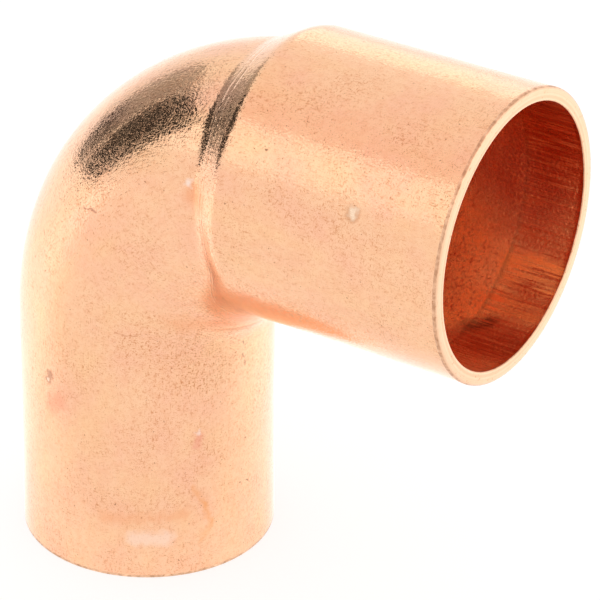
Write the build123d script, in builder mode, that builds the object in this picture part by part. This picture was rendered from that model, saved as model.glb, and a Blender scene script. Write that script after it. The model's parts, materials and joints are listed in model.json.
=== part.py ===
"""A wrought copper 90 degree street elbow: one plain end and one solder cup.

Millimetres. +Z runs up the plain leg, which a fitting or a valve slips over,
and +X runs out along the cup, which takes a tube. The origin is the centre of
the plain end's rim. The elbow is a single length of tube: it is bent, one end
is opened out to a cup over a short shoulder, and both rims are faced.
"""
import os
from math import radians, tan

from build123d import *

# Tube, as the plain end is sized, and the inside of its bend
tube_diameter = 22.2
tube_wall = 1.15
street_length = 20.9
throat_radius = 6.2

# Cup, which takes a tube of the same size as the plain end
solder_clearance = 0.18
cup_wall = 1.22
socket_depth = 20.5

# Shoulder: it stands back from the end of the bend and runs out into the cup
shoulder_angle = 35.0
shoulder_setback = 2.5
shoulder_rounding = 2.0
root_rounding = 2.3

# Under the surface the shoulder's cone is carried on by so many of its own heights,
# and the bend stops just short of its full 90 degrees, inside the cup
cone_carry = 3
drawn_bend_angle = 88

# Rounded edges of the two rims
cup_outer_edge = 0.25
cup_inner_edge = 0.12
street_outer_edge = 0.15
street_inner_edge = 0.12

# Radii that follow from the sizes above
tube_radius = tube_diameter / 2
bend_radius = throat_radius + tube_radius
bore_radius = tube_radius - tube_wall
socket_radius = tube_radius + solder_clearance / 2
cup_radius = socket_radius + cup_wall
stop_rounding = shoulder_rounding - cup_wall
bore_root_rounding = root_rounding + tube_wall

# Places along the cup's axis, measured from the plain leg's axis
slope = tan(radians(shoulder_angle))
half_slope = tan(radians(shoulder_angle) / 2)
cup_start = bend_radius - shoulder_setback
socket_start = cup_start + cup_wall * half_slope
mouth = socket_start + stop_rounding * half_slope + socket_depth

# The cup's axis crosses the plain leg's axis at this height
cup_height = street_length + bend_radius

bend_start = Plane.XY.offset(street_length)
bend_centre = Axis((bend_radius, 0, street_length), (0, 1, 0))
cup_section = Plane(origin=(0, 0, cup_height), x_dir=(1, 0, 0), z_dir=(0, -1, 0))
cup_axis = Axis((0, 0, cup_height), (1, 0, 0))


def elbow_form(leg_radius, end_radius, end_start, end_rounding, root):
    """Solid leg, bend, shoulder and cup: once the elbow's outside, once its bore."""
    step = end_radius - leg_radius
    cone_start = end_start - cone_carry * step / slope
    cone_radius = end_radius - cone_carry * step
    with BuildPart() as form:
        with BuildSketch():
            Circle(leg_radius)
        extrude(amount=street_length)
        with BuildSketch(bend_start):
            Circle(leg_radius)
        revolve(axis=bend_centre, revolution_arc=drawn_bend_angle)
        with BuildSketch(cup_section) as end_profile:
            with BuildLine():
                Polyline(
                    (cone_start, 0),
                    (cone_start, cone_radius),
                    (end_start, end_radius),
                    (mouth, end_radius),
                    (mouth, 0),
                    close=True,
                )
            make_face()
            corner = end_profile.vertices().sort_by_distance((end_start, end_radius, 0))[0]
            fillet(corner, end_rounding)
        revolve(axis=cup_axis)
        # The shoulder springs from the bend along the only free-form edges.
        springing = form.edges().filter_by(GeomType.LINE, reverse=True)
        fillet(springing.filter_by(GeomType.CIRCLE, reverse=True), root)
    return form.part


outside = elbow_form(tube_radius, cup_radius, cup_start, shoulder_rounding, root_rounding)
bore = elbow_form(bore_radius, socket_radius, socket_start, stop_rounding, bore_root_rounding)


def rim_edges(body, axis, radius):
    """Circles of one radius on the rim that lies furthest along an axis."""
    rim = body.edges().filter_by(GeomType.CIRCLE).group_by(axis)[-1]
    return rim.filter_by(lambda edge: abs(edge.radius - radius) < tube_wall / 4)


# Elbow body: the bore is taken out of the outside, then the rims are rounded
with BuildPart() as elbow_body:
    add(outside)
    add(bore, mode=Mode.SUBTRACT)
    fillet(rim_edges(elbow_body, Axis.X, cup_radius), cup_outer_edge)
    fillet(rim_edges(elbow_body, Axis.X, socket_radius), cup_inner_edge)
    fillet(rim_edges(elbow_body, -Axis.Z, tube_radius), street_outer_edge)
    fillet(rim_edges(elbow_body, -Axis.Z, bore_radius), street_inner_edge)
elbow_body.part.label = "elbow_body"

os.makedirs("parts", exist_ok=True)
export_step(elbow_body.part, "parts/elbow_body.step")
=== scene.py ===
"""Copper street elbow: the looks of a bent, cupped and faced length of drawn copper tube.

The file is laid out as an add-on and run as a script. Every length is in metres unless its
name says otherwise. "Along" is the distance along the tube's centreline from the street
rim, and "round" is the angle about it: 0 on the outside of the bend, 90 degrees at +Y.
"""
import json
import math

import bpy
import numpy as np
from bpy.props import FloatProperty, FloatVectorProperty, PointerProperty, StringProperty
from mathutils import Euler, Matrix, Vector


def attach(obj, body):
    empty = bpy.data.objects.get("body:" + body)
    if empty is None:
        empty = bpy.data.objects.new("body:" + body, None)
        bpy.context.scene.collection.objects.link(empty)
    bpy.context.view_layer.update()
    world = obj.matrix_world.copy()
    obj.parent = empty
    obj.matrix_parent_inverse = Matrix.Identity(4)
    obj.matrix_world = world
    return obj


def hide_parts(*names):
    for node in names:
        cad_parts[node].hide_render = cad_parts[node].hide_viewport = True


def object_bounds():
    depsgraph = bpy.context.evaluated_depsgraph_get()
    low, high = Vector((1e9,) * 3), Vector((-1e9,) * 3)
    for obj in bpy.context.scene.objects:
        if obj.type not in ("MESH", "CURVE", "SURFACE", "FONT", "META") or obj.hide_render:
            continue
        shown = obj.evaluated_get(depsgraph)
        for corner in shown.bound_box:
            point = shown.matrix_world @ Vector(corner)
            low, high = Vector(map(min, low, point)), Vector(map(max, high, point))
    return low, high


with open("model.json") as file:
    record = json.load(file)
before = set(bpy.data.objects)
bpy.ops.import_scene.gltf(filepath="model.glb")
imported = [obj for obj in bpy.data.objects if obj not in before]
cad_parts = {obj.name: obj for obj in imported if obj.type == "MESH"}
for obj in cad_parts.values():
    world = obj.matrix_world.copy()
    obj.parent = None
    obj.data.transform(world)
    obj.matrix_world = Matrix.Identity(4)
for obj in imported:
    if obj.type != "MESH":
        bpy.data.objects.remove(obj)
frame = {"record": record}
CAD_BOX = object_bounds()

bl_info = {
    "name": "Copper Street Elbow",
    "version": (1, 0, 0),
    "blender": (4, 5, 0),
    "location": "View3D > Sidebar > Elbow",
    "description": "Makes a drawn copper street elbow and the stage it stands on",
    "category": "Object",
}

MM = 0.001
MOUNTS = {mount["name"]: mount for mount in frame["record"]["mounts"]}


def mount_radius(name):
    """Radius of a round mount, in metres."""
    return MOUNTS[name]["dims"]["r_mm"] * MM


# ---------------------------------------------------------------- settings


class ElbowSizes(bpy.types.PropertyGroup):
    """Sizes of the formed tube."""

    tube_radius: FloatProperty(
        name="Tube radius", description="Outside radius of the plain leg and of the bend",
        default=-CAD_BOX[0][0], unit="LENGTH")
    tube_wall: FloatProperty(
        name="Tube wall", description="Wall of the plain leg and of the bend",
        default=1.15 * MM, unit="LENGTH")
    straight: FloatProperty(
        name="Straight run", description="Plain leg from its rim to the start of the bend",
        default=20.9 * MM, unit="LENGTH")
    cup_height: FloatProperty(
        name="Cup height", description="Height of the cup's axis over the street rim",
        default=MOUNTS["socket"]["pos_m"][2], unit="LENGTH")
    cup_radius: FloatProperty(
        name="Cup radius", description="Outside radius of the cup",
        default=CAD_BOX[1][1], unit="LENGTH")
    socket_radius: FloatProperty(
        name="Socket radius", description="Radius of the bore that the tube goes into",
        default=mount_radius("socket"), unit="LENGTH")
    mouth: FloatProperty(
        name="Mouth", description="Distance of the cup's rim from the plain leg's axis",
        default=CAD_BOX[1][0], unit="LENGTH")
    cup_start: FloatProperty(
        name="Cup start", description="Where the shoulder's cone would meet the cup's outside",
        default=15.0 * MM, unit="LENGTH")
    throat_lead: FloatProperty(
        name="Throat lead", description="How much nearer the bend the cup starts in the throat",
        default=2.6 * MM, unit="LENGTH")
    shoulder_angle: FloatProperty(
        name="Shoulder angle", description="Slope of the shoulder's cone against the cup's axis",
        default=math.radians(29), subtype="ANGLE")
    shoulder_rounding: FloatProperty(
        name="Shoulder rounding", description="Radius where the shoulder runs out into the cup",
        default=2.8 * MM, unit="LENGTH")
    root_rounding: FloatProperty(
        name="Root rounding", description="Radius where the shoulder springs from the bend",
        default=2.6 * MM, unit="LENGTH")
    punch_depth: FloatProperty(
        name="Punch depth", description="How far the sizing punch has rubbed the socket",
        default=5.5 * MM, unit="LENGTH")
    punch_step: FloatProperty(
        name="Punch step", description="How much wider the punch has left the socket there",
        default=0.05 * MM, unit="LENGTH")
    cup_edge: FloatProperty(
        name="Cup edge", description="Rounding of the cup rim's outer edge",
        default=0.25 * MM, unit="LENGTH")
    street_edge: FloatProperty(
        name="Street edge", description="Rounding of the street rim's outer edge",
        default=0.15 * MM, unit="LENGTH")
    inner_edge: FloatProperty(
        name="Inner edge", description="Rounding of both rims' inner edges",
        default=0.12 * MM, unit="LENGTH")
    ripple: FloatProperty(
        name="Ripple", description="Depth of the unevenness that the forming die left",
        default=0.03 * MM, unit="LENGTH")


class ElbowFinish(bpy.types.PropertyGroup):
    """Colours of the copper, as sRGB hex."""

    bright: StringProperty(
        name="Bright copper", description="New drawn copper", default="#FFCCA4")
    pink: StringProperty(
        name="Pink copper", description="Where annealing left it pinker", default="#FDBDA0")
    straw: StringProperty(
        name="Straw copper", description="Where heat has tinted it", default="#FFCD9B")
    mottle: StringProperty(
        name="Mottle", description="Slightly browner grains", default="#F2B086")
    fleck: StringProperty(
        # Also painted shade: the dark line past the punch's step in the bore.
        name="Flecks", description="Oxide and dirt in pores and short rubs", default="#CB8352")
    speck_and_shade: StringProperty(
        name="Specks", description="Darker dots of dirt", default="#96603E")
    bore: StringProperty(
        name="Bore copper", description="Rubbed inside of the tube", default="#FFAE72")
    bore_dark: StringProperty(
        name="Bore oxide", description="Thin oxide film in the bore", default="#EE7C4A")
    rim: StringProperty(
        name="Cut copper", description="Freshly faced rims", default="#FFD2AE")


class ElbowStage(bpy.types.PropertyGroup):
    """Camera, floor and lamps."""

    azimuth: FloatProperty(
        name="Azimuth", description="Camera's turn about Z from the -Y side",
        default=math.radians(32.49), subtype="ANGLE")
    elevation: FloatProperty(
        name="Elevation", description="Camera's height angle",
        default=math.radians(28.99), subtype="ANGLE")
    roll: FloatProperty(
        name="Roll", description="Camera's turn about its own axis",
        default=math.radians(0.72), subtype="ANGLE")
    distance: FloatProperty(
        name="Distance", description="From the camera to its aim",
        default=320.4 * MM, unit="LENGTH")
    lens: FloatProperty(
        name="Lens", description="Focal length on a 36 mm sensor, in millimetres",
        default=227.85)
    aim: FloatVectorProperty(
        name="Aim", description="The camera's aim, from the middle of the elbow's box",
        default=(2.1 * MM, 1.7 * MM, -0.24 * MM), subtype="TRANSLATION", unit="LENGTH")
    floor: StringProperty(
        name="Floor", description="Matt white paper", default="#F6F5F4")
    floor_size: FloatProperty(
        name="Floor size", description="Side of the square floor", default=4.0, unit="LENGTH")
    glow_share: FloatProperty(
        name="Glow share", description="How much of the floor is its own glow", default=0.65)
    metal_share: FloatProperty(
        name="Metal share", description="The same as it shows in the metal", default=0.85)
    camera_glow: FloatProperty(
        name="Camera glow", description="The floor's glow as the camera sees it", default=1.16)
    front_glow: FloatProperty(
        name="Front glow", description="The floor's glow in front of the elbow", default=1.04)
    back_glow: FloatProperty(
        name="Back glow", description="The floor's glow behind the elbow", default=1.48)
    far_loss: FloatProperty(
        name="Far loss", description="How much of that glow is gone far behind", default=0.22)
    sides: StringProperty(
        name="Tent sides", description="White cloth", default="#FFFFFF")
    roof_front: StringProperty(
        name="Roof in front", description="The roof's cloth in front, in warm shade", default="#FDEBE6")
    roof_back: StringProperty(
        name="Roof behind", description="The roof's cloth behind", default="#FFFFFF")


# ---------------------------------------------------------------- shape of the tube


def bend_radius(sizes):
    """The bend's centreline radius: the cup's axis is that far over the leg's straight run."""
    return sizes.cup_height - sizes.straight


def arc_length(sizes):
    """Length of the bend along its centreline."""
    return bend_radius(sizes) * math.pi / 2


def along_at_mouth(sizes):
    """Length of the whole centreline, from the street rim to the mouth."""
    return sizes.straight + arc_length(sizes) + sizes.mouth - bend_radius(sizes)


def centreline(sizes, along):
    """Points of the centreline, and the directions from them to the outside of the bend."""
    radius = bend_radius(sizes)
    turn = np.clip((along - sizes.straight) / radius, 0, math.pi / 2)
    outward = np.stack([-np.cos(turn), 0 * turn, np.sin(turn)], axis=-1)
    centre = np.array([radius, 0, sizes.straight]) + radius * outward
    centre[:, 2] += np.minimum(along - sizes.straight, 0)
    centre[:, 0] += np.maximum(along - sizes.straight - arc_length(sizes), 0)
    return centre, outward


def rays_out(sizes, along, rounds):
    """Points of the centreline, and the directions from them to each place round the tube."""
    centre, outward = centreline(sizes, along)
    ray = np.cos(rounds)[None, :, None] * outward[:, None, :]
    ray = ray + np.sin(rounds)[None, :, None] * np.array([0, 1, 0])
    return centre[:, None, :], ray


def smooth_larger(a, b, width):
    """The larger of two distances, with the crease between them rounded over a width."""
    near = np.maximum(width - np.abs(a - b), 0) / width
    return np.maximum(a, b) + near * near * width / 4


def tube_distance(sizes, points, radius):
    """Distance outside a plain tube of that radius along the whole centreline."""
    x, y, z = np.moveaxis(points, -1, 0)
    bend = bend_radius(sizes)
    leg = np.hypot(x, y)
    elbow = np.hypot(np.hypot(x - bend, z - sizes.straight) - bend, y)
    cup = np.hypot(z - sizes.cup_height, y)
    return np.where(z < sizes.straight, leg, np.where(x < bend, elbow, cup)) - radius


# Where the throat's lead begins and where it is whole, as shares of the way down from the axis
THROAT_BEGINS = 0.4
THROAT_WHOLE = 0.9
CONE_LENGTH = 9 * MM  # the rest of the cone would come out of the bend's back


def cup_distance(sizes, points, radius, start, rounding):
    """Distance outside the cup and its cone, which is cut off where it is deep in the bend."""
    height = points[..., 2] - sizes.cup_height
    from_axis = np.hypot(points[..., 1], height)
    side = from_axis - radius
    slope = sizes.shoulder_angle
    downward = -height / np.maximum(from_axis, MM)
    lead = np.clip((downward - THROAT_BEGINS) / (THROAT_WHOLE - THROAT_BEGINS), 0, 1)
    start = start - sizes.throat_lead * lead * lead * (3 - 2 * lead)
    cone = side * math.cos(slope) + (start - points[..., 0]) * math.sin(slope)
    hidden_end = start - CONE_LENGTH - points[..., 0]
    return np.maximum(smooth_larger(side, cone, rounding * (1 - math.cos(slope))), hidden_end)


NARROWEST_CREASE = math.radians(12)
WIDEST_CREASE = math.radians(85)


def crease_angle(sizes, points):
    """Angle between the tube's surface and the shoulder's cone, which is widest in the throat."""
    x, y, z = np.moveaxis(points, -1, 0)
    bend = bend_radius(sizes)
    from_bend = np.maximum(np.hypot(x - bend, z - sizes.straight), MM)
    lean = np.where((x < bend) & (z > sizes.straight), (bend - x) / from_bend, 0)
    height = z - sizes.cup_height
    upward = height / np.maximum(np.hypot(y, height), MM)
    angle = sizes.shoulder_angle - np.arcsin(np.clip(lean, -1, 1)) * upward
    return np.clip(angle, NARROWEST_CREASE, WIDEST_CREASE)


def from_crease(sizes, points):
    """Which side of the shoulder's root a place is on, and how far: above 0 on the cup's side."""
    tube = tube_distance(sizes, points, sizes.tube_radius)
    cup = cup_distance(sizes, points, sizes.cup_radius, sizes.cup_start, sizes.shoulder_rounding)
    return tube - cup


# How much wider the root's rounding gets from the cup's axis down into the throat
THROAT_GROWTH = 1.1


def wall_distance(sizes, points, leg_radius, end_radius, start, rounding, root):
    """Distance outside the formed tube: plain tube and cup, with a rounded root between."""
    tube = tube_distance(sizes, points, leg_radius)
    cup = cup_distance(sizes, points, end_radius, start, rounding)
    below = np.clip((sizes.cup_height - points[..., 2]) / sizes.cup_radius, 0, 1)
    width = root * (1 - np.cos(crease_angle(sizes, points))) * (1 + THROAT_GROWTH * below ** 2)
    return -smooth_larger(-tube, -cup, width)


# The wall is found by stepping towards it, always a little less far than it seems to be
REACH_STEPS = 30
REACH_SHARE = 0.8


def wall_reach(sizes, along, rounds, leg_radius, end_radius, start, rounding, root):
    """How far the wall stands from the centreline, at each place along and round it."""
    centre, ray = rays_out(sizes, along, rounds)
    reach = np.full(ray.shape[:2], leg_radius)
    for _ in range(REACH_STEPS):
        points = centre + reach[..., None] * ray
        reach = reach - REACH_SHARE * wall_distance(
            sizes, points, leg_radius, end_radius, start, rounding, root)
    return reach


def ripples(places, wavelength, seed, waves=14, shortest=0.7, longest=1.5, spread=2.6):
    """Smooth unevenness from 0 to 1 made of waves of about one length, in every direction."""
    chance = np.random.default_rng(seed)
    total = np.zeros(places.shape[:-1])
    for _ in range(waves):
        direction = chance.normal(size=3)
        direction = direction / np.linalg.norm(direction)
        length = wavelength * chance.uniform(shortest, longest)
        total += np.cos(places @ direction * 2 * math.pi / length + chance.uniform(0, 2 * math.pi))
    return np.clip(0.5 + total / (spread * math.sqrt(waves)), 0, 1)


# Waves that the forming left in the wall: length (mm), depth as a share of the ripple, seed
WALL_WAVES = ((7.0, 1.0, 3), (2.6, 0.3, 4))
BORE_WAVES = ((3.5, 1.5, 5),)


def unevenness(sizes, places, waves):
    """Depth of the wall's waves at each place."""
    return sum(
        share * sizes.ripple * ripples(places, length_mm * MM, seed)
        for length_mm, share, seed in waves)


def straightened(along, rounds, radius):
    """Places on the tube as if it had never been bent, which the finish's patterns follow."""
    along, rounds = np.broadcast_arrays(along[:, None], rounds[None, :])
    return np.stack([along, radius * np.cos(rounds), radius * np.sin(rounds)], axis=-1)


def dent(places, along_mm, round_deg, radius, width, depth):
    """Depth of one shallow round dent."""
    turn = math.radians(round_deg)
    middle = np.array([along_mm * MM, radius * math.cos(turn), radius * math.sin(turn)])
    away = np.linalg.norm(places - middle, axis=-1)
    return depth * np.exp(-(away / width) ** 2)


# Handling dents: place along (mm), place round (degrees), width (mm), depth (mm)
DENTS = (
    (58.4, -68, 0.7, 0.030),
    (43.2, -73, 0.8, 0.020),
    (17.7, -75, 0.9, 0.020),
    (29.0, -40, 2.2, 0.030),
    (39.5, -95, 2.6, 0.030),
    (64.0, 40, 1.6, 0.030),
    (12.0, 150, 1.8, 0.035),
)


def stations(start, end, spacing):
    """Evenly spaced places along the tube, both ends kept."""
    return np.linspace(start, end, max(2, int(round(abs(end - start) / spacing)) + 1))


def rim_rings(outer, outer_edge, inner, inner_edge, steps=4, face_steps=3):
    """A rim's section from its outer edge to its inner one: (short of the rim, reach) pairs."""
    rings = []
    for turn in np.linspace(0, math.pi / 2, steps):
        rings.append((outer_edge * (1 - math.sin(turn)), outer - outer_edge * (1 - math.cos(turn))))
    face = np.linspace(outer - outer_edge, inner + inner_edge, face_steps + 2)[1:-1]
    rings += [(0.0, reach) for reach in face]
    for turn in np.linspace(0, math.pi / 2, steps):
        rings.append((inner_edge * (1 - math.cos(turn)), inner + inner_edge * (1 - math.sin(turn))))
    return rings


OUTSIDE, BORE, RIM = range(3)

# How far apart the rings of the wall are, closest where the shoulder curves
RING_SPACING = {"plain": 0.42 * MM, "bend": 0.30 * MM, "shoulder": 0.13 * MM}
BORE_SPACING = {"socket": 0.42 * MM, "shoulder": 0.22 * MM, "bend": 0.55 * MM, "leg": 0.8 * MM}
SHOULDER_FROM = 0.72  # share of the bend
SHOULDER_PAST = 1.5 * MM  # past the bend's end
STREET_ROOM = 2.0  # the wall's rings start that many edge roundings from the street rim
MOUTH_ROOM = 1.3  # and end that many from the mouth
SMOOTH_ENDS = 1.5 * MM  # no dents or ripples that near a rim
PUNCH_SLOPE = 1.0 * MM  # length of the punched band's step


def elbow_rings(sizes, rounds):
    """Every ring of the closed tube wall, from the street rim out, over the mouth and back."""
    bore_radius = sizes.tube_radius - sizes.tube_wall
    cup_wall = sizes.cup_radius - sizes.socket_radius
    socket_start = sizes.cup_start + cup_wall * math.tan(sizes.shoulder_angle / 2)
    mouth = along_at_mouth(sizes)
    shoulder = sizes.straight + arc_length(sizes) * SHOULDER_FROM
    shoulder_end = sizes.straight + arc_length(sizes) + SHOULDER_PAST

    outer = np.concatenate([
        stations(STREET_ROOM * sizes.street_edge, sizes.straight, RING_SPACING["plain"])[:-1],
        stations(sizes.straight, shoulder, RING_SPACING["bend"])[:-1],
        stations(shoulder, shoulder_end, RING_SPACING["shoulder"])[:-1],
        stations(shoulder_end, mouth - MOUTH_ROOM * sizes.cup_edge, RING_SPACING["plain"]),
    ])
    outer_reach = wall_reach(
        sizes, outer, rounds, sizes.tube_radius, sizes.cup_radius,
        sizes.cup_start, sizes.shoulder_rounding, sizes.root_rounding)
    places = straightened(outer, rounds, sizes.tube_radius)
    hollow = unevenness(sizes, places, WALL_WAVES)
    for along_mm, round_deg, width, depth in DENTS:
        hollow += dent(places, along_mm, round_deg, sizes.tube_radius, width * MM, depth * MM)
    ends = np.minimum(outer - outer[0], outer[-1] - outer) / SMOOTH_ENDS
    outer_reach = outer_reach - hollow * np.clip(ends, 0, 1)[:, None]

    inner = np.concatenate([
        stations(mouth - MOUTH_ROOM * sizes.inner_edge, shoulder_end, BORE_SPACING["socket"])[:-1],
        stations(shoulder_end, shoulder, BORE_SPACING["shoulder"])[:-1],
        stations(shoulder, sizes.straight, BORE_SPACING["bend"])[:-1],
        stations(sizes.straight, STREET_ROOM * sizes.inner_edge, BORE_SPACING["leg"]),
    ])
    inner_reach = wall_reach(
        sizes, inner, rounds, bore_radius, sizes.socket_radius,
        socket_start, sizes.shoulder_rounding - cup_wall, sizes.root_rounding + sizes.tube_wall)
    unpunched = np.clip((mouth - sizes.punch_depth - inner) / PUNCH_SLOPE + 0.5, 0, 1)
    inner_reach = inner_reach - sizes.punch_step * unpunched[:, None]
    inner_places = straightened(inner, rounds, bore_radius)
    inner_reach = inner_reach + unevenness(sizes, inner_places, BORE_WAVES)

    rings = [(a, reach, OUTSIDE) for a, reach in zip(outer, outer_reach)]
    mouth_rim = rim_rings(sizes.cup_radius, sizes.cup_edge, sizes.socket_radius, sizes.inner_edge)
    rings += [(mouth - short, np.full(len(rounds), reach), RIM) for short, reach in mouth_rim]
    rings += [(a, reach, BORE) for a, reach in zip(inner, inner_reach)]
    street_rim = rim_rings(sizes.tube_radius, sizes.street_edge, bore_radius, sizes.inner_edge)
    rings += [(short, np.full(len(rounds), reach), RIM) for short, reach in reversed(street_rim)]
    return rings


def elbow_mesh(sizes, segments=232):
    """One closed tube wall, with its straightened places kept for the finish."""
    rounds = np.linspace(0, 2 * math.pi, segments, endpoint=False)
    rings = elbow_rings(sizes, rounds)
    along = np.array([ring[0] for ring in rings])
    reach = np.stack([ring[1] for ring in rings])
    kinds = np.array([ring[2] for ring in rings])
    centre, ray = rays_out(sizes, along, rounds)
    points = centre + reach[..., None] * ray

    count = len(rings)
    ring, step = np.meshgrid(np.arange(count), np.arange(segments), indexing="ij")
    next_ring, next_step = (ring + 1) % count, (step + 1) % segments
    corners = np.stack([
        ring * segments + step, ring * segments + next_step,
        next_ring * segments + next_step, next_ring * segments + step], axis=-1)
    kind = np.where(kinds[ring] == kinds[next_ring], kinds[ring], RIM)

    mesh = bpy.data.meshes.new("copper_elbow")
    mesh.from_pydata(points.reshape(-1, 3).tolist(), [], corners.reshape(-1, 4).tolist())
    mesh.polygons.foreach_set("material_index", kind.reshape(-1).astype(np.int32))
    mesh.polygons.foreach_set("use_smooth", np.ones(count * segments, bool))
    straight = np.stack([
        np.broadcast_to(along[:, None], reach.shape),
        reach * np.cos(rounds), reach * np.sin(rounds)], axis=-1)
    stored = mesh.attributes.new("straightened", "FLOAT_VECTOR", "POINT")
    stored.data.foreach_set("vector", straight.astype(np.float32).reshape(-1))
    crease = mesh.attributes.new("from_crease", "FLOAT", "POINT")
    crease.data.foreach_set("value", from_crease(sizes, points).astype(np.float32).reshape(-1))
    mesh.update()
    return mesh


# ---------------------------------------------------------------- finishes


def linear(hex_colour):
    """An sRGB hex colour as linear red, green, blue and alpha."""
    channels = [int(hex_colour[i:i + 2], 16) / 255 for i in (1, 3, 5)]
    return [c / 12.92 if c <= 0.04045 else ((c + 0.055) / 1.055) ** 2.4 for c in channels] + [1.0]


def add_node(tree, kind, inputs=None, **settings):
    """A node with its settings, its values (a colour may be a hex string) and the links into it."""
    made = tree.nodes.new(kind)
    for name, value in settings.items():
        setattr(made, name, value)
    for socket, value in (inputs or {}).items():
        if isinstance(value, bpy.types.NodeSocket):
            tree.links.new(value, made.inputs[socket])
        else:
            made.inputs[socket].default_value = linear(value) if isinstance(value, str) else value
    return made


def per_mm(size_mm):
    """Noise scale whose features are about that many millimetres across."""
    return 1 / (size_mm * MM)


def new_metal(name):
    """A bare metal's material, its shader and the straightened places that patterns use."""
    material = bpy.data.materials.new(name)
    material.use_nodes = True
    tree = material.node_tree
    shader = tree.nodes["Principled BSDF"]
    shader.inputs["Metallic"].default_value = 1.0
    places = add_node(tree, "ShaderNodeAttribute", attribute_name="straightened")
    return material, tree, shader, places.outputs["Vector"]


def all_of(tree, first, *others):
    """Where every one of the masks shows: their product."""
    for other in others:
        first = add_node(tree, "ShaderNodeMath", {0: first, 1: other}, operation="MULTIPLY").outputs[0]
    return first


def sum_of(tree, *parts, start=0.0):
    """A sum that begins at start and adds (value, share) pairs, each value times its share."""
    total = start
    for value, share in parts:
        total = add_node(tree, "ShaderNodeMath", {
            0: value, 1: share, 2: total}, operation="MULTIPLY_ADD").outputs[0]
    return total


def laid_over(tree, below, laid, *masks):
    """A colour with another laid over it, as strongly as all of the masks let it show."""
    mix = add_node(tree, "ShaderNodeMix", {
        0: all_of(tree, *masks), 6: below, 7: laid}, data_type="RGBA")
    return mix.outputs[2]


def noise_mask(tree, places, size_mm, low, high, detail=2.0, stretch=(1, 1, 1)):
    """A mask from 0 to 1 where a noise of that grain rises from low to high.

    The stretch is for streaks: a factor under 1 draws the pattern out along or across the tube.
    """
    stretched = add_node(tree, "ShaderNodeVectorMath", {0: places, 1: stretch}, operation="MULTIPLY")
    noise = add_node(tree, "ShaderNodeTexNoise", {
        "Vector": stretched.outputs["Vector"], "Scale": per_mm(size_mm), "Detail": detail,
        "Roughness": 0.55})
    mask = add_node(tree, "ShaderNodeMapRange", {
        "Value": noise.outputs["Fac"], "From Min": low, "From Max": high})
    return mask.outputs["Result"]


def band_mask(tree, value, start, full, full_until, end):
    """A mask that is 1 in a band of some value, and soft on both sides of it."""
    sides = [add_node(tree, "ShaderNodeMapRange", {"Value": value, "From Min": low, "From Max": high})
             for low, high in ((start, full), (end, full_until))]
    return all_of(tree, *(side.outputs["Result"] for side in sides))


def set_bump(tree, shader, depth, *layers):
    """Gives the shader a surface that is uneven to that depth, from (height, share) layers."""
    bump = add_node(tree, "ShaderNodeBump", {
        "Height": sum_of(tree, *layers), "Distance": depth, "Strength": 1.0})
    tree.links.new(bump.outputs["Normal"], shader.inputs["Normal"])


def on_tube(sizes, along_mm, round_deg, inside=False):
    """A place on the straightened tube, on its outside or in its bore."""
    on_cup = along_mm * MM > sizes.straight + arc_length(sizes)
    radius = sizes.cup_radius if on_cup else sizes.tube_radius
    if inside:
        radius = sizes.socket_radius if on_cup else sizes.tube_radius - sizes.tube_wall
    turn = math.radians(round_deg)
    return Vector((along_mm * MM, radius * math.cos(turn), radius * math.sin(turn)))


def shifted_places(tree, places, size_mm, reach=0.5 * MM):
    """Places pushed about at random by up to that reach, so that marks are uneven."""
    chance = add_node(tree, "ShaderNodeTexNoise", {
        "Vector": places, "Scale": per_mm(size_mm), "Detail": 3.0})
    shift = add_node(tree, "ShaderNodeVectorMath", {
        0: chance.outputs["Color"], 1: (2 * reach,) * 3, 2: (-reach,) * 3}, operation="MULTIPLY_ADD")
    shifted = add_node(tree, "ShaderNodeVectorMath", {
        0: places, 1: shift.outputs["Vector"]}, operation="ADD")
    return shifted.outputs["Vector"]


def mark_mask(tree, places, start, end, solid_mm, fade_mm):
    """A mask that is 1 near the line from start to end and fades away from it."""
    run = end - start
    square = max(run.length_squared, 1e-12)  # a round mark has no run
    offset = add_node(tree, "ShaderNodeVectorMath", {0: places, 1: start}, operation="SUBTRACT")
    share = add_node(tree, "ShaderNodeVectorMath", {
        0: offset.outputs["Vector"], 1: run / square}, operation="DOT_PRODUCT")
    share = add_node(tree, "ShaderNodeClamp", {"Value": share.outputs["Value"]})
    nearest = add_node(tree, "ShaderNodeVectorMath", {
        0: share.outputs["Result"], 1: run, 2: start}, operation="MULTIPLY_ADD")
    away = add_node(tree, "ShaderNodeVectorMath", {
        0: places, 1: nearest.outputs["Vector"]}, operation="DISTANCE")
    mask = add_node(tree, "ShaderNodeMapRange", {
        "Value": away.outputs["Value"], "From Min": fade_mm * MM, "From Max": solid_mm * MM})
    return mask.outputs["Result"]
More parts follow.
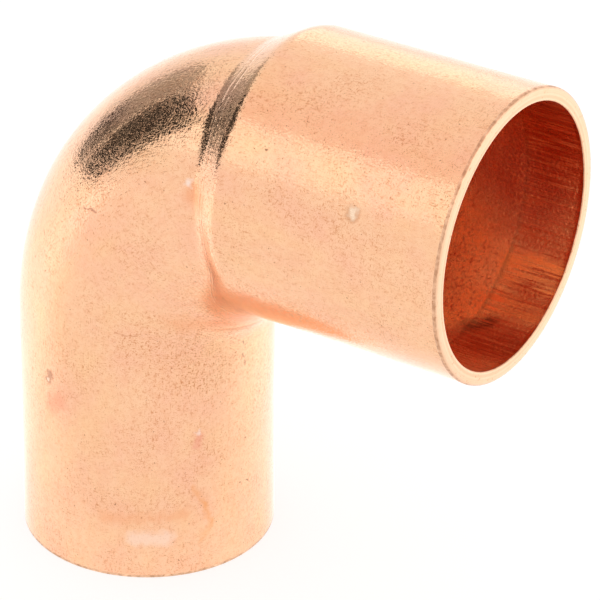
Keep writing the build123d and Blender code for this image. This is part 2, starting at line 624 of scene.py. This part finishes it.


# Marks: two ends as along (mm) and round (degrees), the solid and fading reach (mm),
# the colour painted there and how strongly it shows. Later ones lie over earlier ones.
# Most are handling marks; the near-white spots in pits and dents are painted glints,
# and the two pale pink ones in the crotch are painted reflection.
MARKS_AND_PAINTED_LIGHT = (
    ((43.9, -76), (44.4, -79), 0.3, 1.1, "#F2A273", 0.50),
    # Painted glint: the near-white middle of a pit.
    ((43.1, -74), (43.3, -73), 0.10, 0.45, "#FFEFE4", 0.70),
    ((58.4, -68), (58.4, -68), 0.55, 0.85, "#C98B62", 0.55),
    # Painted glint: the pale middle of a dent.
    ((58.4, -68), (58.4, -67), 0.25, 0.6, "#FFE3C6", 0.80),
    ((49.5, -55), (49.5, -55), 0.06, 0.18, "#5A3018", 0.80),
    ((16.2, -82), (15.4, -77), 0.4, 1.2, "#F09A7C", 0.45),
    ((17.7, -75), (18.2, -76), 0.25, 0.5, "#A06A50", 0.55),
    # Painted glint: the pale middle of a dent.
    ((17.7, -75), (17.8, -75), 0.10, 0.25, "#FFDCC0", 0.80),
    ((13.8, -148), (12.9, -147), 0.2, 0.7, "#EF9A84", 0.50),
    # Painted glint: a near-white speck.
    ((14.2, -148), (14.2, -147), 0.05, 0.3, "#FFE6DA", 0.70),
    ((8.7, -145), (6.8, -150), 0.05, 0.45, "#F2A466", 0.45),
    ((6.8, -150), (4.7, -154), 0.05, 0.45, "#F2A466", 0.50),
    ((4.7, -154), (3.0, -148), 0.05, 0.35, "#F2A466", 0.35),
    ((7.7, -170), (7.1, -177), 0.04, 0.12, "#84543A", 0.70),
    ((33.2, -67), (34.2, -72), 0.05, 0.15, "#A9705A", 0.70),
    ((22.7, -172), (21.3, -173), 0.05, 0.16, "#8E5C44", 0.60),
    ((20.6, -171), (19.1, -173), 0.05, 0.14, "#8E5C44", 0.50),
    ((25.6, -118), (25.2, -110), 0.05, 0.20, "#C07A50", 0.50),
    ((6.2, -140), (5.9, -105), 0.2, 0.9, "#F7AE80", 0.50),
    ((4.0, -132), (4.0, -118), 0.3, 1.0, "#FFE0CC", 0.55),
    # Painted reflection: pale pink that lightens the crotch between the leg and the cup.
    ((37.0, -158), (35.0, -170), 0.8, 3.5, "#F8B8A4", 0.55),
    ((31.5, -150), (29.5, -135), 0.5, 2.5, "#F5A878", 0.40),
    ((43.6, -79), (44.0, -82), 0.3, 1.3, "#F2A070", 0.50),
)


# Places in the socket, laid out as the outside's marks are; the last number is how much
# rougher the copper is there, which lets it catch the light from the mouth. The bright ones
# are rubbed copper with painted highlights on it, the two darker red ones are darker and
# smoother, and the last, dark one is painted shade.
BORE_RUBS_AND_PAINTED_LIGHT = (
    # Painted highlights on rubbed copper.
    ((61.5, 112), (58.0, 88), 2.0, 6.0, "#FF9C68", 0.80, 0.26),
    ((59.5, 146), (57.0, 122), 1.0, 4.5, "#FFAE68", 1.00, 0.60),
    ((60.8, 128), (60.2, 140), 0.3, 2.2, "#FFBC80", 1.00, 0.30),
    ((60.6, 158), (59.0, 168), 0.5, 2.5, "#FFA860", 0.90, 0.45),
    ((66.7, 40), (61.5, 95), 2.0, 6.5, "#D0603E", 0.80, -0.16),
    ((66.0, 174), (63.5, 178), 0.8, 3.0, "#D0603E", 0.70, -0.12),
    # Painted highlights on rubbed copper.
    ((66.6, 131), (61.6, 131), 0.5, 1.4, "#FFB06A", 1.00, 0.50),
    ((66.6, 140), (61.6, 138), 0.1, 0.8, "#FFB06A", 1.00, 0.50),
    ((65.5, 152), (62.0, 152), 0.6, 1.8, "#FF9A55", 0.80, 0.30),
    # Painted shade.
    ((62.6, 162), (61.4, 168), 0.2, 1.2, "#8E3A20", 0.80, 0.00),
)


# Pores, grains of scale and short rubs: size (mm), how they are drawn out, where their noise
# starts to show and where it shows whole, and how strongly. The real ones are 0.05 to 0.2 mm
# across; the narrowest are drawn at 0.11 mm so that they show.
FLECKS = (
    (0.11, (1, 1, 1), 0.54, 0.72, 0.36),
    (0.19, (0.45, 1.3, 1.3), 0.60, 0.70, 0.50),
    (0.21, (1.4, 0.5, 0.9), 0.61, 0.71, 0.50),
    (0.21, (1.4, 0.9, 0.5), 0.62, 0.71, 0.46),
)


def drawn_copper(sizes, finish):
    """New drawn and bright-annealed copper tube, tumbled clean.

    It gives the eye a warm pink-orange mirror that is never quite flat: orange peel from the
    grain, faint lines along the draw, straw and pink clouds from the heat, and everywhere the
    small brown flecks of a part that has lain in a bin with others.
    """
    material, tree, shader, places = new_metal("drawn_copper_bright_annealed")
    along = add_node(tree, "ShaderNodeSeparateXYZ", {0: places}).outputs["X"]

    clouds = noise_mask(tree, places, 5.0, 0.40, 0.66, detail=4.0)
    colour = laid_over(tree, finish.bright, finish.pink, clouds, 0.55)
    straw = noise_mask(tree, places, 3.2, 0.45, 0.72, detail=4.0, stretch=(0.5, 1, 1))
    colour = laid_over(tree, colour, finish.straw, straw, 0.55)
    mottle = noise_mask(tree, places, 0.55, 0.42, 0.70, detail=3.0)
    colour = laid_over(tree, colour, finish.mottle, mottle, 0.35)

    # Flecks lie closer together in patches, and most of all where the leg's side was rubbed.
    uneven = shifted_places(tree, places, 0.7)
    patches = noise_mask(tree, places, 5.5, 0.42, 0.62, detail=3.0)
    rubbed = mark_mask(tree, uneven, on_tube(sizes, 33, -165), on_tube(sizes, 22, -145), 2.0, 8.0)
    crowded = sum_of(tree, (patches, 0.6), (rubbed, 0.8), start=0.4)
    bumps = []
    for size_mm, stretch, low, high, strength in FLECKS:
        flecks = noise_mask(tree, places, size_mm, low, high, detail=1.0, stretch=stretch)
        colour = laid_over(tree, colour, finish.fleck, flecks, crowded, strength)
        bumps.append((flecks, -0.4))
    specks = noise_mask(tree, places, 0.30, 0.74, 0.80, detail=1.0)
    colour = laid_over(tree, colour, finish.speck_and_shade, specks, 0.7)

    # Marks, among them painted glints and a painted reflection in the crotch.
    for start, end, solid_mm, fade_mm, stain_and_painted_light, strength in MARKS_AND_PAINTED_LIGHT:
        ends = [on_tube(sizes, *place) for place in (start, end)]
        mask = mark_mask(tree, uneven, *ends, solid_mm, fade_mm)
        colour = laid_over(tree, colour, stain_and_painted_light, mask, strength)

    # The forming die's edge left two fine bright lines in the root of the shoulder.
    crease = add_node(tree, "ShaderNodeAttribute", attribute_name="from_crease").outputs["Fac"]
    sway = noise_mask(tree, places, 2.5, 0.0, 1.0)
    crease = sum_of(tree, (sway, 0.25 * MM), start=crease)
    lines = []
    for middle, half in ((0.38 * MM, 0.07 * MM), (0.62 * MM, 0.06 * MM)):
        line = band_mask(tree, crease, middle - half, middle, middle, middle + half)
        worn = noise_mask(tree, places, 0.8, 0.35, 0.60, detail=3.0)
        lines.append((line, worn))
    die_lines = sum_of(tree, *lines)
    colour = laid_over(tree, colour, finish.rim, die_lines, 0.8)

    # A broken brown line runs along each rim's outer edge.
    broken = noise_mask(tree, places, 0.5, 0.30, 0.62, detail=4.0)
    mouth = along_at_mouth(sizes)
    for edge, inside in ((mouth - 0.22 * MM, mouth - 0.33 * MM), (0.12 * MM, 0.22 * MM)):
        dark_rim_line = add_node(tree, "ShaderNodeMapRange", {"Value": along, "From Min": inside, "From Max": edge})
        colour = laid_over(tree, colour, finish.speck_and_shade, dark_rim_line.outputs["Result"], broken, 0.65)
    tree.links.new(colour, shader.inputs["Base Color"])

    dull = noise_mask(tree, places, 1.2, 0.3, 0.7, detail=3.0)
    tree.links.new(sum_of(tree, (dull, 0.05), start=0.03), shader.inputs["Roughness"])

    peel = noise_mask(tree, places, 0.7, 0.0, 1.0)
    # The grain is 0.05 mm on the real surface; it is drawn at 0.2 mm so that it shows.
    grain = noise_mask(tree, places, 0.2, 0.0, 1.0, detail=0.0)
    draw_lines = noise_mask(tree, places, 0.35, 0.0, 1.0, stretch=(0.04, 1, 1))
    bumps += [(peel, 0.7), (grain, 0.85), (draw_lines, 0.25), (die_lines, 2.0)]
    set_bump(tree, shader, 0.014 * MM, *bumps)
    return material


def sized_bore_copper(sizes, finish):
    """Inside of the tube: drawn over a plug, then sized at the mouth by a plain punch.

    It gives the eye a rougher, deeper orange, mottled deep in, with fine bright scores along
    the last few millimetres before the rim, where the punch has rubbed it.
    """
    material, tree, shader, places = new_metal("sized_copper_bore")
    along = add_node(tree, "ShaderNodeSeparateXYZ", {0: places}).outputs["X"]
    wander = noise_mask(tree, places, 1.5, 0.0, 1.0, detail=3.0)
    wavy = sum_of(tree, (wander, 0.5 * MM), start=along)
    step = along_at_mouth(sizes) - sizes.punch_depth
    punched = add_node(tree, "ShaderNodeMapRange", {
        "Value": wavy, "From Min": step + 0.15 * MM, "From Max": step + 0.35 * MM}).outputs["Result"]

    mottle = noise_mask(tree, places, 1.1, 0.35, 0.68, detail=4.0)
    deep = laid_over(tree, finish.bore, finish.bore_dark, mottle)
    scores = noise_mask(tree, places, 0.42, 0.40, 0.62, detail=3.0, stretch=(0.04, 1, 1))
    scored = laid_over(tree, finish.bore_dark, finish.bore, scores)
    colour = laid_over(tree, deep, scored, punched)
    rough = sum_of(tree, (all_of(tree, scores, punched), -0.07), start=0.47)

    # Rubs, and the painted highlights and shade laid with them, are grainy deep in, and streaky where the
    # punch has drawn them out.
    grainy = noise_mask(tree, places, 0.28, 0.32, 0.56)
    streaky = noise_mask(tree, places, 0.25, 0.35, 0.55, stretch=(0.06, 1, 1))
    fine = laid_over(tree, grainy, streaky, punched)
    uneven = shifted_places(tree, places, 0.8)
    for start, end, solid_mm, fade_mm, stain_and_painted_light, strength, rougher in BORE_RUBS_AND_PAINTED_LIGHT:
        ends = [on_tube(sizes, *place, inside=True) for place in (start, end)]
        mask = all_of(tree, mark_mask(tree, uneven, *ends, solid_mm, fade_mm), strength, fine)
        colour = laid_over(tree, colour, stain_and_painted_light, mask)
        rough = sum_of(tree, (mask, rougher), start=rough)
    # Painted shade: a dark line just past the punch's step.
    painted_step_shade = add_node(tree, "ShaderNodeMapRange", {
        "Value": wavy, "From Min": step + 0.8 * MM, "From Max": step + 0.3 * MM}).outputs["Result"]
    colour = laid_over(tree, colour, finish.speck_and_shade, punched, painted_step_shade, 0.28)
    tree.links.new(colour, shader.inputs["Base Color"])
    tree.links.new(rough, shader.inputs["Roughness"])

    grain = noise_mask(tree, places, 0.3, 0.0, 1.0, detail=3.0)
    near_mouth = add_node(tree, "ShaderNodeMapRange", {
        "Value": along, "From Min": step - 0.3 * MM, "From Max": step + 0.9 * MM}).outputs["Result"]
    set_bump(tree, shader, 0.07 * MM, (all_of(tree, scores, near_mouth), 0.5), (grain, 1.0))
    return material


def faced_rim_copper(sizes, finish):
    """Rim cut square by a facing tool.

    It gives the eye a paler, duller ring with fine lathe lines round it and a few nicks.
    """
    material, tree, shader, places = new_metal("faced_copper_rim")
    shader.inputs["Roughness"].default_value = 0.3
    across = add_node(tree, "ShaderNodeVectorMath", {0: places, 1: (0, 1, 1)}, operation="MULTIPLY")
    radius = add_node(tree, "ShaderNodeVectorMath", {
        0: across.outputs["Vector"]}, operation="LENGTH").outputs["Value"]
    # Lathe lines are about 0.1 mm apart; they are drawn 0.3 mm apart so that they show.
    lathe = add_node(tree, "ShaderNodeTexNoise", {
        "W": radius, "Scale": per_mm(0.3), "Detail": 1.0}, noise_dimensions="1D").outputs["Fac"]
    groove = add_node(tree, "ShaderNodeMapRange", {
        "Value": lathe, "From Min": 0.48, "From Max": 0.62}).outputs["Result"]
    wear = noise_mask(tree, places, 1.3, 0.38, 0.68, detail=3.0)
    colour = laid_over(tree, finish.rim, finish.bright, wear, 0.6)
    colour = laid_over(tree, colour, finish.mottle, groove, 0.45)
    nicks = noise_mask(tree, places, 0.25, 0.66, 0.74, detail=1.0)
    colour = laid_over(tree, colour, finish.fleck, nicks, 0.55)
    broken = noise_mask(tree, places, 0.5, 0.30, 0.62, detail=4.0)
    # A broken brown line along each rim's outer edge.
    for outer in (sizes.cup_radius, sizes.tube_radius):
        dark_edge_line = band_mask(
            tree, radius, outer - 0.14 * MM, outer - 0.06 * MM, outer + 0.1 * MM, outer + 0.2 * MM)
        colour = laid_over(tree, colour, finish.speck_and_shade, dark_edge_line, broken, 0.6)
    tree.links.new(colour, shader.inputs["Base Color"])
    grain = noise_mask(tree, places, 0.25, 0.0, 1.0)
    set_bump(tree, shader, 0.02 * MM, (lathe, 1.0), (grain, 0.5))
    return material


# ---------------------------------------------------------------- operators


class ELBOW_OT_body(bpy.types.Operator):
    """Makes the elbow itself: one closed wall of formed copper tube."""

    bl_idname = "elbow.body"
    bl_label = "Elbow Body"

    def execute(self, context):
        sizes, finish = context.scene.elbow_sizes, context.scene.elbow_finish
        body = bpy.data.objects.new("copper_elbow", elbow_mesh(sizes))
        context.scene.collection.objects.link(body)
        for material in (drawn_copper(sizes, finish), sized_bore_copper(sizes, finish),
                         faced_rim_copper(sizes, finish)):
            body.data.materials.append(material)
        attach(body, "root")
        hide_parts("elbow_body")
        return {"FINISHED"}


def add_stage_mesh(name, corners, material):
    """One face of the stage: the floor, or a panel of the tent."""
    mesh = bpy.data.meshes.new(name)
    mesh.from_pydata(corners, [], [tuple(range(len(corners)))])
    mesh.materials.append(material)
    made = bpy.data.objects.new(name, mesh)
    bpy.context.scene.collection.objects.link(made)
    return made


# Where the light table's glow rises and then fades, as distances behind the plain leg's axis
GLOW_RISES = (-18 * MM, 10 * MM)
GLOW_FADES = (20 * MM, 70 * MM)


def light_table(stage):
    """Floor: white paper on a table lit from below, more behind the elbow than in front of it.

    The paper takes the elbow's shadow, and the glow keeps it white. Only the camera and
    reflections see the glow, so it shows in the metal but casts no light.
    """
    material = bpy.data.materials.new("white_paper_light_table")
    material.use_nodes = True
    tree = material.node_tree
    path = add_node(tree, "ShaderNodeLightPath").outputs
    behind = add_node(tree, "ShaderNodeVectorMath", {
        0: add_node(tree, "ShaderNodeNewGeometry").outputs["Position"],
        1: direction(math.degrees(stage.azimuth) + 180, 0)}, operation="DOT_PRODUCT")
    rise, fade = (
        add_node(tree, "ShaderNodeMapRange", {
            "Value": behind.outputs["Value"], "From Min": start, "From Max": end,
            "To Min": first, "To Max": last}).outputs["Result"]
        for (start, end), first, last in (
            (GLOW_RISES, stage.front_glow, stage.back_glow), (GLOW_FADES, 0.0, -stage.far_loss)))
    strength = add_node(tree, "ShaderNodeMix", {
        0: path["Is Glossy Ray"], 2: stage.camera_glow,
        3: sum_of(tree, (fade, 1.0), start=rise)}, data_type="FLOAT")
    glow = add_node(tree, "ShaderNodeEmission", {
        "Color": "#FFFFFF", "Strength": strength.outputs[0]})
    share = sum_of(
        tree, (path["Is Camera Ray"], stage.glow_share), (path["Is Glossy Ray"], stage.metal_share),
        (path["Is Transmission Ray"], stage.glow_share))
    paper = add_node(tree, "ShaderNodeBsdfDiffuse", {"Color": stage.floor})
    mixed = add_node(tree, "ShaderNodeMixShader", {
        0: share, 1: paper.outputs[0], 2: glow.outputs[0]})
    tree.links.new(mixed.outputs[0], tree.nodes["Material Output"].inputs["Surface"])
    return material


# The tent's roof: the middle of its back (azimuth and elevation in degrees), the cosines of the
# angle from there between which it gets lighter, and the sines of its lower edge's elevation
ROOF_BACK = (-150, 30)
ROOF_SHADE = (0.2, 1.0)
ROOF_EDGE = (math.sin(math.radians(38)), math.sin(math.radians(43)))


def white_tent(stage):
    """World: a white tent, whose roof is darker in front than behind."""
    world = bpy.data.worlds.new("white_tent")
    world.use_nodes = True
    tree = world.node_tree
    view = add_node(tree, "ShaderNodeTexCoord").outputs["Generated"]
    height = add_node(tree, "ShaderNodeSeparateXYZ", {0: view}).outputs["Z"]
    behind = add_node(tree, "ShaderNodeVectorMath", {
        0: view, 1: direction(*ROOF_BACK)}, operation="DOT_PRODUCT").outputs["Value"]
    lit, is_roof = (
        add_node(tree, "ShaderNodeMapRange", {
            "Value": value, "From Min": low, "From Max": high}).outputs["Result"]
        for value, (low, high) in ((behind, ROOF_SHADE), (height, ROOF_EDGE)))
    roof = laid_over(tree, stage.roof_front, stage.roof_back, lit)
    tent = laid_over(tree, stage.sides, roof, is_roof)
    is_camera = add_node(tree, "ShaderNodeLightPath").outputs["Is Camera Ray"]
    background = tree.nodes["Background"]
    background.inputs["Strength"].default_value = 1.0
    tree.links.new(laid_over(tree, tent, "#FFFFFF", is_camera), background.inputs["Color"])
    return world


def glow_material(name, strength):
    """An evenly bright panel, which shows as a darker or lighter patch in the metal."""
    material = bpy.data.materials.new(name)
    material.use_nodes = True
    tree = material.node_tree
    glow = add_node(tree, "ShaderNodeEmission", {"Color": "#FFFFFF", "Strength": strength})
    tree.links.new(glow.outputs[0], tree.nodes["Material Output"].inputs["Surface"])
    return material


def direction(azimuth_deg, elevation_deg):
    """Unit vector with the azimuth counted from -Y towards +X."""
    azimuth, elevation = math.radians(azimuth_deg), math.radians(elevation_deg)
    return Vector((math.sin(azimuth) * math.cos(elevation), -math.cos(azimuth) * math.cos(elevation),
                   math.sin(elevation)))


# Openings, cloths and softboxes of the tent: brightness, distance (m), then the corners as
# azimuth and elevation in degrees, seen from the shoulder of the elbow.
TENT_PANELS = {
    "opening_dark": (0.045, 0.60, (
        (-88, -1), (-69, -1), (-66, 6), (-64, 18), (-63, 34), (-80, 36), (-97, 35), (-95, 22),
        (-91, 15), (-88, 8))),
    "opening_curtain": (0.37, 0.61, (
        (-121, 16), (-112, 7), (-105, -1), (-101, -3.5), (-95, -3.5), (-90.5, 1), (-90, 8), (-93, 15),
        (-97, 22), (-98, 34), (-110, 32), (-124, 23))),
    "softbox_left": (1.20, 0.70, ((-62, 14), (30, 14), (30, 40), (-62, 40))),
    "softbox_right": (1.40, 0.70, ((65, -2), (125, -2), (125, 45), (65, 45))),
    "opening_gap": (0.07, 0.59, (
        (-112, 6), (-107, 0), (-101, -3.5), (-93, -3.5), (-91.5, 4), (-94, 11), (-99, 13), (-107, 12))),
    "softbox_back": (1.40, 0.70, ((-180, 6), (-143, 6), (-143, 30.5), (-180, 30.5))),
}


SHOULDER_HEIGHT = 0.83  # share of the elbow's height
SENSOR_WIDTH = 36.0  # millimetres
NEAREST_SEEN = 10 * MM


class ELBOW_OT_stage(bpy.types.Operator):
    """Makes the floor, the white tent with its opening and softboxes, and the camera."""

    bl_idname = "elbow.stage"
    bl_label = "Elbow Stage"

    def execute(self, context):
        scene, stage = context.scene, context.scene.elbow_stage
        low, high = (Vector(corner) for corner in CAD_BOX)
        middle = (low + high) / 2
        shoulder = Vector((low.x / 2, low.y / 2, high.z * SHOULDER_HEIGHT))

        half = stage.floor_size / 2
        floor = [(-half, -half, low.z), (half, -half, low.z), (half, half, low.z), (-half, half, low.z)]
        add_stage_mesh("floor", floor, light_table(stage))
        for name, (strength, distance, corners) in TENT_PANELS.items():
            places = [shoulder + distance * direction(*corner) for corner in corners]
            panel = add_stage_mesh(name, places, glow_material(name, strength))
            panel.visible_camera = False
            panel.visible_diffuse = False
            panel.visible_shadow = False
        scene.world = white_tent(stage)

        camera = bpy.data.objects.new("camera", bpy.data.cameras.new("camera"))
        scene.collection.objects.link(camera)
        camera.data.lens = stage.lens
        camera.data.sensor_width = SENSOR_WIDTH
        camera.data.clip_start = NEAREST_SEEN
        aim = middle + Vector(stage.aim)
        back = direction(math.degrees(stage.azimuth), math.degrees(stage.elevation))
        camera.location = aim + stage.distance * back
        turn = Euler((math.pi / 2 - stage.elevation, 0, stage.azimuth)).to_matrix()
        camera.rotation_euler = (turn @ Euler((0, 0, stage.roll)).to_matrix()).to_euler()
        scene.camera = camera
        scene.view_settings.view_transform = "Standard"
        return {"FINISHED"}


class ELBOW_PT_panel(bpy.types.Panel):
    """Lists the elbow's operators and settings."""

    bl_idname = "ELBOW_PT_panel"
    bl_label = "Copper Street Elbow"
    bl_space_type = "VIEW_3D"
    bl_region_type = "UI"
    bl_category = "Elbow"

    def draw(self, context):
        for operator in (ELBOW_OT_body, ELBOW_OT_stage):
            self.layout.operator(operator.bl_idname)
        for settings in SETTINGS:
            group = getattr(context.scene, settings)
            box = self.layout.box()
            for name in group.__annotations__:
                box.prop(group, name)


CLASSES = (ElbowSizes, ElbowFinish, ElbowStage, ELBOW_OT_body, ELBOW_OT_stage, ELBOW_PT_panel)
SETTINGS = {"elbow_sizes": ElbowSizes, "elbow_finish": ElbowFinish, "elbow_stage": ElbowStage}


def register():
    """Makes the classes and the scene's settings known to Blender."""
    for cls in CLASSES:
        bpy.utils.register_class(cls)
    for name, group in SETTINGS.items():
        setattr(bpy.types.Scene, name, PointerProperty(type=group))


def unregister():
    """Takes them away again."""
    for name in SETTINGS:
        delattr(bpy.types.Scene, name)
    for cls in reversed(CLASSES):
        bpy.utils.unregister_class(cls)


def main():
    """Makes the stage and the elbow."""
    register()
    bpy.ops.elbow.stage()
    bpy.ops.elbow.body()


if __name__ == "__main__":
    main()
